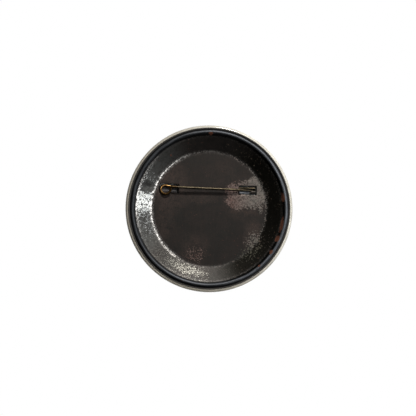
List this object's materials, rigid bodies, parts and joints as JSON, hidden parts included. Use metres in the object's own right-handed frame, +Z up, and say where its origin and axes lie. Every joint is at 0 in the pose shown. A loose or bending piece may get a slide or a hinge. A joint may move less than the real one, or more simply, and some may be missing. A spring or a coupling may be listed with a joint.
{
  "type": "pin-back button badge",
  "caption": "Round domed tinplate button badge with a plain printed face under clear film, a dished back plate and a spring-wire pin that swings open.",
  "frame": {"origin": "centre of the badge: on its round axis, halfway between the back plate's rim and the crown of the printed face", "axes": "as worn: +Z up, +Y out of the printed face, +X to the right of someone who looks at the pin side"},
  "size_m": [0.058, 0.0084, 0.058],
  "materials": {
    "shell_tinplate": "bright tinplate",
    "printed_paper": "matt coated print",
    "clear_film": "clear glossy film",
    "tarnished_tinplate": "tarnished, speckled with wear",
    "spring_wire": "aged bronze, half glossy"
  },
  "bodies": {
    "badge": {"front_shell": "shell_tinplate", "printed_paper": "printed_paper", "clear_film": "clear_film", "back_plate": "tarnished_tinplate", "pin_spring": "spring_wire"},
    "pin": {"pin_arm": "spring_wire"}
  },
  "joints": [
    {"name": "pin_swing", "type": "hinge", "parent": "badge", "child": "pin", "pos_m": [-0.01345, -0.0025, 0.00725], "axis": [0.6999, -0.5849, -0.4099], "range_deg": [0, 80]}
  ]
}
